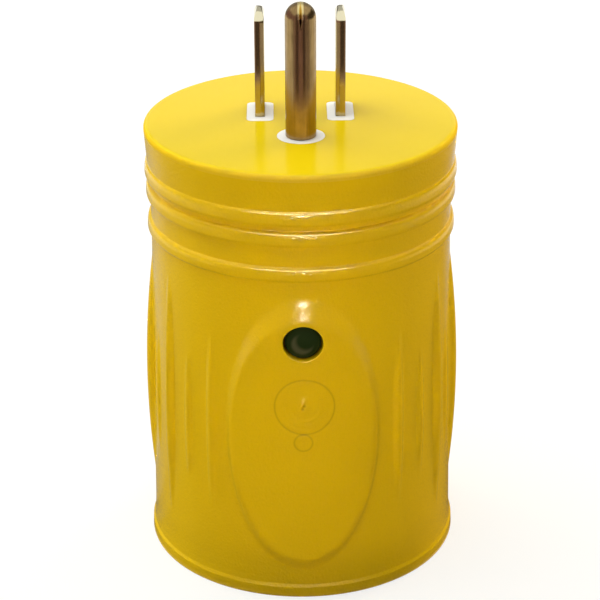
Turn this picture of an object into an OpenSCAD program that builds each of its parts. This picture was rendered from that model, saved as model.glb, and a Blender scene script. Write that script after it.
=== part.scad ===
// Plug-in outlet adapter with a power lamp: three prongs on top, a sprung socket in the base.
// Millimetres, +Z up. The origin is the centre of the bottom rim, and the lamp side faces -Y.

/* [Body] */
// Height of the moulded body, without the prongs
body_h = 72.2; // [71:0.2:74]
// Radius of the top edge of the cap
cap_r = 24.75; // [24.5:0.05:25.2]
// Radius of the cap just above the rings
cap_low_r = 24.35; // [24.2:0.05:24.5]
// Radius of the body just below the rings
waist_r = 23.95; // [23.7:0.05:24.2]
// Radius of the body just above the bottom flange
skirt_r = 24.85; // [24.5:0.05:25]
// Radius of the bottom flange
flange_r = 25.4; // [25.2:0.05:26]
// Height of the bottom flange's flare
flange_h = 4.4; // [3.5:0.1:6]
// Radius of the hollow inside the body
cavity_r = 20.6; // [20.4:0.05:20.9]
// Thickness of the body's top wall
top_wall = 3.6; // [3:0.1:4]

/* [Rings] */
// Height of the lowest ring's lip
low_ring_z = 54.9; // [54.6:0.1:55.4]
// Height of the middle ring's lip
mid_ring_z = 60.8; // [60.4:0.1:61]
// Height of the highest ring's lip
high_ring_z = 64.1; // [63.9:0.1:64.4]
// Height of each ring's slope
ring_h = 1.9; // [1.6:0.1:2.2]
// How far a ring's lip stands out
ring_reach = 0.6; // [0.3:0.05:0.8]
// Depth of the shadow groove under a ring
ring_groove = 0.35; // [0.1:0.05:0.6]

/* [Oval panels] */
// Height of the middle of the oval
panel_z = 28.3; // [27:0.1:30]
// Width of the oval at its foot
panel_w = 26.5; // [22:0.5:28]
// Height of the oval at its foot
panel_h = 47.4; // [40:0.2:48]
// How far the oval stands proud
panel_rise = 1; // [0.4:0.1:1.1]

/* [Grip ribs] */
// Angle between ribs
rib_pitch = 12; // [11:0.25:12.5]
// Half length of the long ribs
rib_long = 20.5; // [16:0.5:22]
// Half length of the middling ribs
rib_middle = 16; // [12:0.5:18]
// Half length of the short ribs
rib_short = 11.2; // [8:0.4:14]
// Height of the middle of the ribs
rib_z = 29.3; // [28:0.1:31]
// Radius of a rib's round back
rib_r = 1.2; // [1:0.1:1.6]

/* [Prongs] */
// Distance between the flat blades
blade_pitch = 12.7; // [12.6:0.05:12.8]
// Thickness of a blade
blade_t = 1.5; // [1.4:0.05:1.6]
// Width of a blade
blade_w = 6.35; // [6.2:0.05:6.6]
// Length of a blade above the cap
blade_len = 17; // [15:0.5:18.5]
// Distance of the blades behind the body's axis
blade_y = 4.3; // [4:0.1:5]
// Diameter of the ground pin
pin_d = 4.75; // [4.7:0.01:4.83]
// Length of the ground pin above the cap
pin_len = 21.2; // [19:0.1:22]
// Distance from the blades' line to the ground pin
pin_offset = 11.9; // [11.8:0.05:12]

/* [Socket] */
// Distance between the middles of the slanted slots
slot_pitch = 19; // [18.5:0.1:19.5]
// Distance of the slots behind the body's axis
slot_y = 4; // [3.8:0.1:4.4]
// Length of a slot
slot_l = 8.4; // [8:0.1:8.6]
// Width of a slot
slot_w = 2.2; // [2:0.1:2.4]
// Distance of the round ground hole in front of the axis
socket_y = 10.5; // [10.2:0.1:10.8]
// Bore of the ground sleeve
socket_d = 4.9; // [4.85:0.01:5]
// Gap between a pair of contact leaves at rest
leaf_gap = 0.8; // [0.6:0.1:1.2]
// Thickness of a contact leaf
leaf_t = 0.8; // [0.6:0.05:0.9]

/* [Lamp] */
// Height of the lamp
lamp_z = 44.9; // [43.5:0.1:45.5]
// Diameter of the lamp's hole in the body
lamp_hole_d = 5.9; // [5.8:0.1:6.4]
// Diameter of the lamp's lens
lens_d = 5.5; // [5.2:0.1:5.6]

/* [Hidden] */

$fn = 96;
yellow = "#e6b800";
white = "#f2f0e8";
brass_tone = "#c9a24a";
plated_tone = "#b7a88c";
play = 0.05;
over = 1;
hot = -1;
neutral = 1;
left_and_right = [-1, 1];

// Outer moulding
skirt_z = flange_h;
waist_z = low_ring_z - 1;
edge_r = 0.7;
foot_edge = 0.3;
lip_edge = 0.3;
rim_r = 19.2;
rim_h = 1.8;
taper = atan((skirt_r - waist_r) / (waist_z - skirt_z));

// Inner white pieces
core_r = cavity_r - 0.2;
face_z = 0.6;
face_flange_z = rim_h + play;
core_z = 3.6;
ledge_z = 26.2;
core_top = 27.5;
carrier_z = core_top + play;
carrier_top = body_h - top_wall - play;
chamber_r = 17.9;
chamber_top = 59.5;
boss_w = 4.2;
boss_l = 8.8;
boss_corner = 0.9;
boss_y = blade_y - 0.7;
boss_d = 7.4;

// Prongs
blade_x = blade_pitch / 2;
pin_y = blade_y - pin_offset;
tail_z = 49;
tail_w = 7.5;
tip_h = 1.3;
tip_t = 1;
tip_r = (blade_w * blade_w / 4 + tip_h * tip_h) / (2 * tip_h);
neck_r = 2.1;
pin_tang_w = 5;
pin_tang_t = 1;

// Contacts: u runs along a slanted slot and v across it
slot_turn = 45;
pocket_u = 4.3;
pocket_v = 4.6;
ledge_u = 5.5;
plate_t = 1.2;
plate_top = ledge_z + plate_t;
leaf_w = 7.4;
root_v = 3;
root_z = 24.4;
root_r = 0.9;
seat_r = root_r + 0.08;
seat_in = 1.7;
bend_z = 9.5;
tip_z = 5.2;
tip_v = 1.7;
socket_wall = 0.8;
socket_r = socket_d / 2;
socket_z = 4.2;
socket_pocket_r = 4.4;
slit_w = 0.8;
slit_top = 20;
spring_ring_z = 8;
spring_ring_h = 1.6;
spring_ring_t = 0.6;
ground_plate_w = 8;
ground_plate_front = socket_y + 3.5;
ground_plate_back = 1.5;

// Straps and rivets
link_t = 1;
link_w = 6;
ground_link_w = 5;
link_top = 58.5;
foot_len = 5.7;
ground_link_y = pin_y + pin_tang_t / 2;
rivet_r = 1.2;
rivet_hole_r = rivet_r + play;
rivet_head_r = 1.9;
rivet_low_head_r = 1.5;
rivet_head_h = 0.8;
blade_rivet_z = 54;
contact_rivet_u = 1.3;
ground_rivet_y = -3.5;

// Lamp and its board
lens_r = lens_d / 2;
lens_tip_y = -24.95;
lens_dome_h = 1;
lens_base_y = -16.2;
lens_rim_h = 1;
lens_rim_r = 3.1;
holder_r = 3.5;
holder_flange_r = 4.4;
holder_front_y = -20;
holder_flange_y = -17.2;
holder_back_y = -15.65;
rim_seat_y = lens_base_y - lens_rim_h - play;
board_y = -13.6;
board_t = 1.2;
board_back_y = board_y + board_t;
board_w = 17.8;
board_low_z = 36;
board_high_z = 52;
rail_in = 7.9;
rail_front = -15.2;
rail_back = -10.8;
lead_r = 0.3;
lamp_lead_x = 1.27;
part_lead_y = board_back_y + 1.6;
resistor_z = 39.5;
resistor_l = 6.5;
resistor_r = 1.25;
diode_z = 50;
diode_l = 4.6;
diode_r = 1.1;
resistor_lead_x = 4.8;
diode_lead_x = 4;
wire_r = 0.6;
wire_hole_r = 0.75;
wire_board_x = 6.6;
wire_board_z = 46;
wire_link_z = 45;
solder_r = 0.85;
solder_h = 0.7;

// Route of a lamp wire on the +X side, from the board to its hole in the strap
wire_route = [
    [wire_board_x, board_y - 0.4, wire_board_z],
    [wire_board_x, board_back_y + 2, wire_board_z],
    [8.2, -7.5, 45.2],
    [10.6, -3.5, 44],
    [11.6, 0.5, 44],
    [11.2, 3.6, 44.7],
    [9.6, blade_y, wire_link_z],
    [7.3, blade_y, wire_link_z]
];
wire_sides = 8;
wire_steps = 4;

// Radius of the plain body wall at height z
function wall_r(z) = waist_r + (skirt_r - waist_r) * (waist_z - z) / (waist_z - skirt_z);

// Outline of one ring: groove, lip and the slope up to the wall above
function ring_points(z, below_r, above_r) = [
    [below_r, z - 1],
    [below_r - ring_groove, z - 0.6],
    [below_r - ring_groove, z - 0.2],
    [below_r + ring_reach - lip_edge, z],
    [below_r + ring_reach, z + lip_edge],
    [above_r, z + ring_h]
];

// Flare of the bottom flange, steep at the wall and spreading towards the rim
function flange_points(steps = 6) = [
    for (i = [0 : steps])
    [
        skirt_r + (flange_r - skirt_r) * pow(1 - i / steps, 1.5),
        foot_edge + (skirt_z - foot_edge) * i / steps
    ]
];

function cap_edge_points(step = 22.5) = [
    for (a = [0 : step : 90])
    [cap_r - edge_r + edge_r * cos(a), body_h - edge_r + edge_r * sin(a)]
];

function body_outline() = concat(
    [[0, 0], [flange_r - foot_edge, 0]],
    flange_points(),
    ring_points(low_ring_z, waist_r, waist_r),
    ring_points(mid_ring_z, waist_r + 0.05, cap_low_r - ring_groove),
    ring_points(high_ring_z, cap_low_r - ring_groove + 0.1, cap_low_r),
    cap_edge_points(),
    [[0, body_h]]
);

function ellipse_points(a, b, steps = 64) = [
    for (i = [0 : steps - 1])
    [a * cos(360 * i / steps), b * sin(360 * i / steps)]
];

// Rectangle with round corners, centred
function round_rect(w, l, r) = [
    for (corner = [[1, 1, 0], [-1, 1, 90], [-1, -1, 180], [1, -1, 270]], a = [0 : 22.5 : 90])
    [
        corner[0] * (w / 2 - r) + r * cos(a + corner[2]),
        corner[1] * (l / 2 - r) + r * sin(a + corner[2])
    ]
];

// Smooth curve through a route's points
function between(p, q, r, s, t) = 0.5 * (
    2 * q + (r - p) * t + (2 * p - 5 * q + 4 * r - s) * t * t + (3 * q - p - 3 * r + s) * t * t * t
);
function smooth(route, steps) = concat(
    [
        for (i = [0 : len(route) - 2], k = [0 : steps - 1])
        between(
            route[max(i - 1, 0)], route[i], route[i + 1],
            route[min(i + 2, len(route) - 1)], k / steps
        )
    ],
    [route[len(route) - 1]]
);
function unit(v) = v / norm(v);

// Tube of radius r along a smooth path that never runs straight up
module tube_along(path, r, sides) {
    n = len(path);
    rings = [
        for (i = [0 : n - 1])
        let (
            along = unit(path[min(i + 1, n - 1)] - path[max(i - 1, 0)]),
            side = unit(cross(along, [0, 0, 1])),
            up = cross(side, along)
        )
        for (k = [0 : sides - 1])
        path[i] + r * (cos(360 * k / sides) * side + sin(360 * k / sides) * up)
    ];
    skins = [
        for (i = [0 : n - 2], k = [0 : sides - 1])
        let (a = i * sides + k, b = i * sides + (k + 1) % sides)
        [a, b, b + sides, a + sides]
    ];
    first = [for (k = [sides - 1 : -1 : 0]) k];
    last = [for (k = [0 : sides - 1]) (n - 1) * sides + k];
    polyhedron(rings, concat(skins, [first, last]));
}

// Lays children out from the +X side on the side asked for
module on_side(side) {
    if (side > 0) children();
    else mirror([1, 0, 0]) children();
}

// Places children at a slanted slot, with x along the slot and y across it
module at_slot(side) {
    on_side(side) translate([slot_pitch / 2, slot_y, 0]) rotate(slot_turn) children();
}

module box_between(low, high) {
    translate(low) cube(high - low);
}

// Cylinder along Y from one y to another
module bar_y(x, z, r, from_y, to_y) {
    translate([x, from_y, z]) rotate([-90, 0, 0]) cylinder(r = r, h = to_y - from_y);
}

// Raised oval with sloping edges, on the -Y side
module oval_panel() {
    foot_y = 20.4;
    depth = 4.6;
    face_share = 0.62;
    foot_share = 0.705;
    low_z = 2;
    high_z = waist_z;
    intersection() {
        translate([0, -foot_y, panel_z])
        rotate([90, 0, 0])
        linear_extrude(height = depth + over, scale = 1 - (1 - face_share) * (depth + over) / depth)
        polygon(ellipse_points(panel_w / 2, panel_h / 2 / foot_share));
        translate([0, 0, low_z])
        cylinder(r1 = wall_r(low_z) + panel_rise, r2 = wall_r(high_z) + panel_rise, h = high_z - low_z);
    }
}

// Spindle rib: an arc of round bar that rises out of the wall and sinks back into it
module grip_rib(turn, half_len, rise) {
    arc_r = (half_len * half_len + rise * rise) / (2 * rise);
    sweep = 2.5 * asin(half_len / arc_r);
    rotate(turn)
    translate([0, -wall_r(rib_z), rib_z])
    rotate([-taper, 0, 0])
    translate([0, arc_r - rise, 0])
    rotate([0, 90, 0])
    rotate(-90 - sweep / 2)
    rotate_extrude(angle = sweep)
    translate([arc_r - rib_r, 0])
    circle(r = rib_r);
}

// Half length and rise of each rib, counted out from the middle of a side
ribs = [
    [rib_long, 1.15],
    [rib_short, 0.5],
    [rib_long, 0.75],
    [rib_short, 0.45],
    [rib_middle, 0.5]
];

module grip_ribs() {
    for (side = left_and_right, away = left_and_right, i = [0 : len(ribs) - 1]) {
        grip_rib(side * 90 + away * (i + 0.5) * rib_pitch, ribs[i][0], ribs[i][1]);
    }
}

module prong_windows(gap) {
    for (x = [-blade_x, blade_x]) {
        translate([x, boss_y])
        polygon(round_rect(boss_w + 2 * gap, boss_l + 2 * gap, boss_corner));
    }
}

module grip_body() {
    color(yellow)
    difference() {
        union() {
            rotate_extrude() polygon(body_outline());
            for (turn = [0, 180]) {
                rotate(turn) oval_panel();
            }
            grip_ribs();
        }
        translate([0, 0, rim_h]) cylinder(r = cavity_r, h = body_h - top_wall - rim_h);
        translate([0, 0, -over]) cylinder(r = rim_r, h = rim_h + 2 * over);
        translate([0, 0, carrier_top - over]) linear_extrude(top_wall + 3 * over) prong_windows(play);
        translate([0, pin_y, carrier_top - over]) cylinder(d = boss_d + 2 * play, h = top_wall + 3 * over);
        bar_y(0, lamp_z, lamp_hole_d / 2, -flange_r - over, -cavity_r + over);
    }
}

module board_rail(side) {
    on_side(side)
    intersection() {
        box_between([rail_in, rail_front, board_low_z - 2], [chamber_r, rail_back, board_high_z + 2]);
        cylinder(r = chamber_r + 1, h = body_h);
    }
}

module plug_carrier() {
    color(white)
    difference() {
        union() {
            difference() {
                translate([0, 0, carrier_z]) cylinder(r = core_r, h = carrier_top - carrier_z);
                translate([0, 0, carrier_z - over])
                cylinder(r = chamber_r, h = chamber_top - carrier_z + over);
            }
            translate([0, 0, carrier_top - over])
            linear_extrude(body_h - carrier_top + over)
            prong_windows(0);
            translate([0, pin_y, carrier_top - over]) cylinder(d = boss_d, h = body_h - carrier_top + over);
            for (side = left_and_right) {
                board_rail(side);
            }
        }
        for (x = [-blade_x, blade_x]) {
            box_between(
                [x - blade_t / 2 - play, blade_y - blade_w / 2 - play, chamber_top - over],
                [x + blade_t / 2 + play, blade_y + blade_w / 2 + play, body_h + over]
            );
        }
        translate([0, pin_y, chamber_top - over]) cylinder(r = neck_r + play, h = body_h);
        bar_y(0, lamp_z, holder_r + play, -cavity_r, -chamber_r + 4);
        box_between(
            [-board_w / 2 - play, board_y - play, board_low_z - 3],
            [board_w / 2 + play, board_back_y + play, board_high_z + play]
        );
    }
}

// Slot with a lead-in at its mouth
module slot_cut(side) {
    lead = 0.5;
    at_slot(side) {
        box_between([-slot_l / 2, -slot_w / 2, 0], [slot_l / 2, slot_w / 2, core_z + over]);
        box_between(
            [-slot_l / 2 - lead, -slot_w / 2 - lead, 0],
            [slot_l / 2 + lead, slot_w / 2 + lead, face_z + lead]
        );
    }
}

module receptacle_face() {
    hole_r = socket_r + 0.4;
    lead = 0.6;
    color(white)
    difference() {
        union() {
            translate([0, 0, face_z]) cylinder(r = rim_r - 0.1, h = core_z - face_z - play);
            translate([0, 0, face_flange_z]) cylinder(r = core_r, h = core_z - face_flange_z - play);
        }
        for (side = [hot, neutral]) {
            slot_cut(side);
        }
        translate([0, -socket_y, 0]) cylinder(r = hole_r, h = core_z + over);
        translate([0, -socket_y, face_z]) cylinder(r1 = hole_r + lead, r2 = hole_r, h = lead);
    }
}

module receptacle_core() {
    color(white)
    difference() {
        translate([0, 0, core_z]) cylinder(r = core_r, h = core_top - core_z);
        for (side = [hot, neutral]) {
            at_slot(side) {
                box_between([-pocket_u, -pocket_v, 0], [pocket_u, pocket_v, core_top + over]);
                box_between([-ledge_u, -pocket_v, ledge_z], [ledge_u, pocket_v, core_top + over]);
            }
        }
        translate([0, -socket_y, 0]) cylinder(r = socket_pocket_r, h = core_top + over);
        box_between(
            [-ground_plate_w / 2 - play, -ground_plate_front - play, ledge_z],
            [ground_plate_w / 2 + play, -ground_plate_back + play, core_top + over]
        );
        translate([0, ground_rivet_y, ledge_z - rivet_head_h - 0.4])
        cylinder(r = rivet_low_head_r + 0.3, h = core_top);
    }
}

// Arc over a blade's tip, seen from its flat side, between its two edges
function tip_arc(top, steps = 12) = [
    for (i = [0 : steps])
    let (a = asin(blade_w / 2 / tip_r) * (1 - 2 * i / steps))
    [tip_r * sin(a), top - tip_r + tip_r * cos(a)]
];

// Flat blade with a shouldered tail; its tip is an arc and thins towards its edge
module blade(side) {
    top = body_h + blade_len;
    color(plated_tone)
    on_side(side)
    translate([blade_x, blade_y, 0])
    difference() {
        intersection() {
            union() {
                box_between(
                    [-blade_t / 2, -blade_w / 2, chamber_top - over],
                    [blade_t / 2, blade_w / 2, top]
                );
                box_between(
                    [-blade_t / 2, -tail_w / 2, tail_z],
                    [blade_t / 2, tail_w / 2, chamber_top - play]
                );
            }
            translate([0, tail_w, 0])
            rotate([90, 0, 0])
            linear_extrude(2 * tail_w)
            polygon([
                [-blade_t / 2, 0], [blade_t / 2, 0], [blade_t / 2, top - tip_h],
                [tip_t / 2, top], [-tip_t / 2, top], [-blade_t / 2, top - tip_h]
            ]);
            translate([-blade_t, 0, 0])
            rotate([90, 0, 90])
            linear_extrude(2 * blade_t)
            polygon(concat(
                [[-tail_w / 2, 0], [tail_w / 2, 0], [tail_w / 2, chamber_top], [blade_w / 2, chamber_top]],
                tip_arc(top),
                [[-blade_w / 2, chamber_top], [-tail_w / 2, chamber_top]]
            ));
        }
        translate([-blade_t, 0, blade_rivet_z])
        rotate([0, 90, 0])
        cylinder(r = rivet_hole_r, h = 2 * blade_t);
    }
}

module hot_blade() {
    blade(hot);
}

module neutral_blade() {
    blade(neutral);
}

// Half outline of the pin: tang collar, neck in the carrier, free length and domed tip
function pin_outline() = concat(
    [[0, chamber_top - over], [neck_r, chamber_top - over], [neck_r, body_h], [pin_d / 2, body_h]],
    [
        for (a = [0 : 11.25 : 90])
        [pin_d / 2 * cos(a), body_h + pin_len - pin_d / 2 + pin_d / 2 * sin(a)]
    ]
);

module ground_pin() {
    color(plated_tone)
    difference() {
        union() {
            translate([0, pin_y, 0]) rotate_extrude() polygon(pin_outline());
            translate([0, pin_y, chamber_top - over]) cylinder(r = pin_tang_w / 2, h = over - play);
            box_between(
                [-pin_tang_w / 2, pin_y - pin_tang_t / 2, tail_z],
                [pin_tang_w / 2, pin_y + pin_tang_t / 2, chamber_top - over / 2]
            );
        }
        bar_y(0, blade_rivet_z, rivet_hole_r, pin_y - pin_tang_t, pin_y + pin_tang_t);
    }
}

module contact_base(side) {
    color(brass_tone)
    at_slot(side)
    difference() {
        union() {
            box_between(
                [-ledge_u + 0.1, -pocket_v + 0.2, ledge_z],
                [ledge_u - 0.1, pocket_v - 0.2, plate_top]
            );
            for (across = left_and_right) {
                translate([0, across * (seat_in + pocket_v - 0.3) / 2, (root_z + ledge_z + 0.2) / 2])
                cube([leaf_w, pocket_v - 0.3 - seat_in, ledge_z + 0.2 - root_z], center = true);
            }
        }
        for (across = left_and_right) {
            translate([0, across * root_v, root_z])
            rotate([0, 90, 0])
            cylinder(r = seat_r, h = leaf_w + 2 * over, center = true);
        }
        translate([contact_rivet_u, 0, ledge_z - over]) cylinder(r = rivet_hole_r, h = plate_t + 2 * over);
    }
}

module hot_contact_base() {
    contact_base(hot);
}

module neutral_contact_base() {
    contact_base(neutral);
}

// Sprung leaf: a round root in the base's seat, a slope to the grip line and a flared mouth
module contact_leaf(side, across) {
    color(brass_tone)
    at_slot(side)
    mirror([0, across < 0 ? 1 : 0, 0])
    union() {
        rotate([90, 0, 90])
        linear_extrude(leaf_w, center = true)
        polygon([
            [root_v - leaf_t / 2, root_z],
            [leaf_gap / 2, bend_z],
            [tip_v, tip_z],
            [tip_v + leaf_t, tip_z],
            [leaf_gap / 2 + leaf_t * 1.1, bend_z],
            [root_v + leaf_t / 2, root_z]
        ]);
        translate([0, root_v, root_z])
        rotate([0, 90, 0])
        cylinder(r = root_r, h = leaf_w, center = true);
    }
}

module hot_leaf_back() {
    contact_leaf(hot, 1);
}

module hot_leaf_front() {
    contact_leaf(hot, -1);
}

module neutral_leaf_back() {
    contact_leaf(neutral, 1);
}

module neutral_leaf_front() {
    contact_leaf(neutral, -1);
}

// Split sleeve for a round ground prong, hung from a plate
module ground_socket() {
    color(brass_tone)
    difference() {
        union() {
            translate([0, -socket_y, socket_z])
            cylinder(r = socket_r + socket_wall, h = ledge_z + 0.5 - socket_z);
            box_between(
                [-ground_plate_w / 2, -ground_plate_front, ledge_z],
                [ground_plate_w / 2, -ground_plate_back, plate_top]
            );
        }
        translate([0, -socket_y, 0]) cylinder(r = socket_r, h = ledge_z);
        box_between([-slit_w / 2, -socket_y, 0], [slit_w / 2, -socket_y + socket_r + over, slit_top]);
        translate([0, ground_rivet_y, ledge_z - over]) cylinder(r = rivet_hole_r, h = plate_t + 2 * over);
    }
}

module socket_spring_ring() {
    inner_r = socket_r + socket_wall + play;
    gap_turn = 30;
    color("silver")
    translate([0, -socket_y, spring_ring_z])
    rotate(90 + gap_turn / 2)
    rotate_extrude(angle = 360 - gap_turn)
    translate([inner_r, 0])
    square([spring_ring_t, spring_ring_h]);
}

// Strap from a blade's tail down to its contact, with a foot on the contact's plate
module blade_link(side) {
    strap_x = blade_x + blade_t / 2;
    low_y = blade_y - link_w / 2;
    color(brass_tone)
    difference() {
        on_side(side)
        union() {
            box_between([strap_x, low_y, plate_top], [strap_x + link_t, low_y + link_w, link_top]);
            box_between(
                [strap_x, low_y, plate_top],
                [strap_x + foot_len, low_y + link_w, plate_top + link_t]
            );
        }
        on_side(side)
        translate([strap_x - over, blade_y, blade_rivet_z])
        rotate([0, 90, 0])
        cylinder(r = rivet_hole_r, h = link_t + 2 * over);
        on_side(side)
        translate([strap_x - over, blade_y, wire_link_z])
        rotate([0, 90, 0])
        cylinder(r = wire_hole_r, h = link_t + 2 * over);
        at_slot(side)
        translate([contact_rivet_u, 0, plate_top - over])
        cylinder(r = rivet_hole_r, h = link_t + 2 * over);
    }
}

module hot_link() {
    blade_link(hot);
}

module neutral_link() {
    blade_link(neutral);
}

module ground_link() {
    color(brass_tone)
    difference() {
        union() {
            box_between(
                [-ground_link_w / 2, ground_link_y, plate_top],
                [ground_link_w / 2, ground_link_y + link_t, link_top]
            );
            box_between(
                [-ground_link_w / 2, ground_link_y, plate_top],
                [ground_link_w / 2, -ground_plate_back, plate_top + link_t]
            );
        }
        bar_y(0, blade_rivet_z, rivet_hole_r, ground_link_y - over, ground_link_y + link_t + over);
        translate([0, ground_rivet_y, plate_top - over]) cylinder(r = rivet_hole_r, h = link_t + 2 * over);
    }
}

// Rivet along Z that clamps from z = 0 up to the given height
module rivet(grip, low_head_r) {
    dome = 0.7;
    translate([0, 0, -play]) cylinder(r = rivet_r, h = grip + 2 * play);
    translate([0, 0, grip]) cylinder(r1 = rivet_head_r, r2 = rivet_head_r * dome, h = rivet_head_h);
    translate([0, 0, -rivet_head_h]) cylinder(r1 = low_head_r * dome, r2 = low_head_r, h = rivet_head_h);
}

module blade_rivets() {
    color(brass_tone) {
        for (side = [hot, neutral]) {
            on_side(side)
            translate([blade_x - blade_t / 2, blade_y, blade_rivet_z])
            rotate([0, 90, 0])
            rivet(blade_t + link_t, rivet_head_r);
        }
        translate([0, pin_y - pin_tang_t / 2, blade_rivet_z])
        rotate([-90, 0, 0])
        rivet(pin_tang_t + link_t, rivet_head_r);
    }
}

module contact_rivets() {
    color(brass_tone) {
        for (side = [hot, neutral]) {
            at_slot(side)
            translate([contact_rivet_u, 0, ledge_z])
            rivet(plate_t + link_t, rivet_low_head_r);
        }
        translate([0, ground_rivet_y, ledge_z]) rivet(plate_t + link_t, rivet_low_head_r);
    }
}

// Half outline of the lens, from its base to its flat dome
function lens_outline() = concat(
    [
        [0, 0], [lens_rim_r, 0], [lens_rim_r, lens_rim_h], [lens_r, lens_rim_h]
    ],
    [
        for (a = [0 : 10 : 90])
        [lens_r * cos(a), lens_base_y - lens_tip_y - lens_dome_h * (1 - sin(a))]
    ]
);

module lamp_lens() {
    color("darkgreen")
    translate([0, lens_base_y, lamp_z])
    rotate([90, 0, 0])
    rotate_extrude()
    polygon(lens_outline());
}

module lamp_leads() {
    color("silver")
    for (x = [-lamp_lead_x, lamp_lead_x]) {
        bar_y(x, lamp_z, lead_r, lens_base_y, board_back_y + solder_h + 0.3);
    }
}

// Bush in the carrier's wall: the lens stands through it, and its rim sits in a pocket behind
module lamp_holder() {
    color("black")
    difference() {
        union() {
            bar_y(0, lamp_z, holder_r, holder_front_y, holder_back_y);
            bar_y(0, lamp_z, holder_flange_r, holder_flange_y, holder_back_y);
        }
        bar_y(0, lamp_z, lens_r + play, holder_front_y - over, holder_back_y + over);
        bar_y(0, lamp_z, lens_rim_r + play, rim_seat_y, holder_back_y + over);
    }
}

// Holes in the board for the leads of the lamp and of the two small parts
module board_holes(r) {
    for (side = left_and_right) {
        bar_y(side * lamp_lead_x, lamp_z, r, board_y - over, board_back_y + over);
        bar_y(side * resistor_lead_x, resistor_z, r, board_y - over, board_back_y + over);
        bar_y(side * diode_lead_x, diode_z, r, board_y - over, board_back_y + over);
        bar_y(side * wire_board_x, wire_board_z, wire_hole_r, board_y - over, board_back_y + over);
    }
}

module lamp_board() {
    color("seagreen")
    difference() {
        box_between([-board_w / 2, board_y, board_low_z], [board_w / 2, board_back_y, board_high_z]);
        board_holes(lead_r + play);
    }
}

// Round part lying along X behind the board
module round_part(z, r, l) {
    waist = 0.85;
    end_l = l / 5;
    translate([-l / 2, part_lead_y, z])
    rotate([0, 90, 0])
    union() {
        cylinder(r = r * waist, h = l);
        cylinder(r = r, h = end_l);
        translate([0, 0, l - end_l]) cylinder(r = r, h = end_l);
    }
}

module dropper_resistor() {
    color("tan") round_part(resistor_z, resistor_r, resistor_l);
}

module rectifier_diode() {
    color("dimgray")
    translate([-diode_l / 2, part_lead_y, diode_z])
    rotate([0, 90, 0])
    cylinder(r = diode_r, h = diode_l);
}

// One bent lead: out of a part's end, then through the board
module bent_lead(side, z, from_x, lead_x) {
    on_side(side)
    union() {
        translate([from_x, part_lead_y, z])
        rotate([0, 90, 0])
        cylinder(r = lead_r, h = lead_x + lead_r - from_x);
        bar_y(lead_x, z, lead_r * 1.02, board_y - solder_h - 0.3, part_lead_y + lead_r * 0.9);
    }
}

module component_leads() {
    color("silver")
    for (side = left_and_right) {
        bent_lead(side, resistor_z, resistor_l / 2, resistor_lead_x);
        bent_lead(side, diode_z, diode_l / 2, diode_lead_x);
    }
}

module lamp_wire(side) {
    on_side(side) tube_along(smooth(wire_route, wire_steps), wire_r, wire_sides);
}

module hot_lamp_wire() {
    color("black") lamp_wire(hot);
}

module neutral_lamp_wire() {
    color("white") lamp_wire(neutral);
}

// Cone of solder around a lead, standing on the board's front or back
module solder(x, z, towards) {
    face_y = towards > 0 ? board_back_y : board_y;
    difference() {
        translate([x, face_y, z])
        rotate([-90 * towards, 0, 0])
        cylinder(r1 = solder_r, r2 = lead_r + 0.15, h = solder_h);
        bar_y(x, z, lead_r + 0.02, board_y - 2, board_back_y + 2);
    }
}

module solder_joints() {
    color("silver")
    for (side = left_and_right) {
        solder(side * lamp_lead_x, lamp_z, 1);
        solder(side * resistor_lead_x, resistor_z, -1);
        solder(side * diode_lead_x, diode_z, -1);
    }
}

grip_body();
plug_carrier();
receptacle_face();
receptacle_core();
hot_blade();
neutral_blade();
ground_pin();
hot_contact_base();
hot_leaf_back();
hot_leaf_front();
neutral_contact_base();
neutral_leaf_back();
neutral_leaf_front();
ground_socket();
socket_spring_ring();
hot_link();
neutral_link();
ground_link();
blade_rivets();
contact_rivets();
lamp_lens();
lamp_leads();
lamp_holder();
lamp_board();
dropper_resistor();
rectifier_diode();
component_leads();
hot_lamp_wire();
neutral_lamp_wire();
solder_joints();
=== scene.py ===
# %% [markdown]
# # A plug-in outlet adapter, dressed for its photograph
#
# The object is a yellow moulded adapter: three brass prongs stand on its top, a small lamp looks out of an
# oval panel in its front, and a sprung socket is hidden in its base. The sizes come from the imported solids,
# which are loaded here as a fixed frame. Blender then adds what solids alone can't show: soft moulded
# edges, surface marks, and finishes made of shader nodes.

# %% Load the frame
import math

import bmesh
import bpy
import numpy as np
from mathutils import Matrix, Vector


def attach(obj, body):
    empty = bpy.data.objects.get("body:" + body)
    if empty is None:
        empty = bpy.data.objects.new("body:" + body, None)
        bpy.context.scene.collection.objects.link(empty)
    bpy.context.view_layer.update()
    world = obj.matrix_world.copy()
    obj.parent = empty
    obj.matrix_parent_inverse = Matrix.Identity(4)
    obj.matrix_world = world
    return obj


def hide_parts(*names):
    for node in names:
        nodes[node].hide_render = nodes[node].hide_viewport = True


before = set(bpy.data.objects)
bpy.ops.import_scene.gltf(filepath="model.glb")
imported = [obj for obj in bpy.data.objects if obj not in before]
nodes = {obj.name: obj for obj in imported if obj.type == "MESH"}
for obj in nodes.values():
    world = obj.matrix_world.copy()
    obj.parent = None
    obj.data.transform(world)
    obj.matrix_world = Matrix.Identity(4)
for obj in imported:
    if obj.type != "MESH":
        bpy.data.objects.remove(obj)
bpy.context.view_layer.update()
MM = 0.001

# %% [markdown]
# ## Camera
#
# A photograph can be matched by solving for its camera. The prongs have standard sizes, so their places in
# the picture, together with the round rim and base, give the height, the distance and the tilt of the lens.
# A Track To constraint could aim the camera, but it can't hold the small roll of this one. So the camera's
# matrix is built from three directions: right, up and back.

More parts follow.
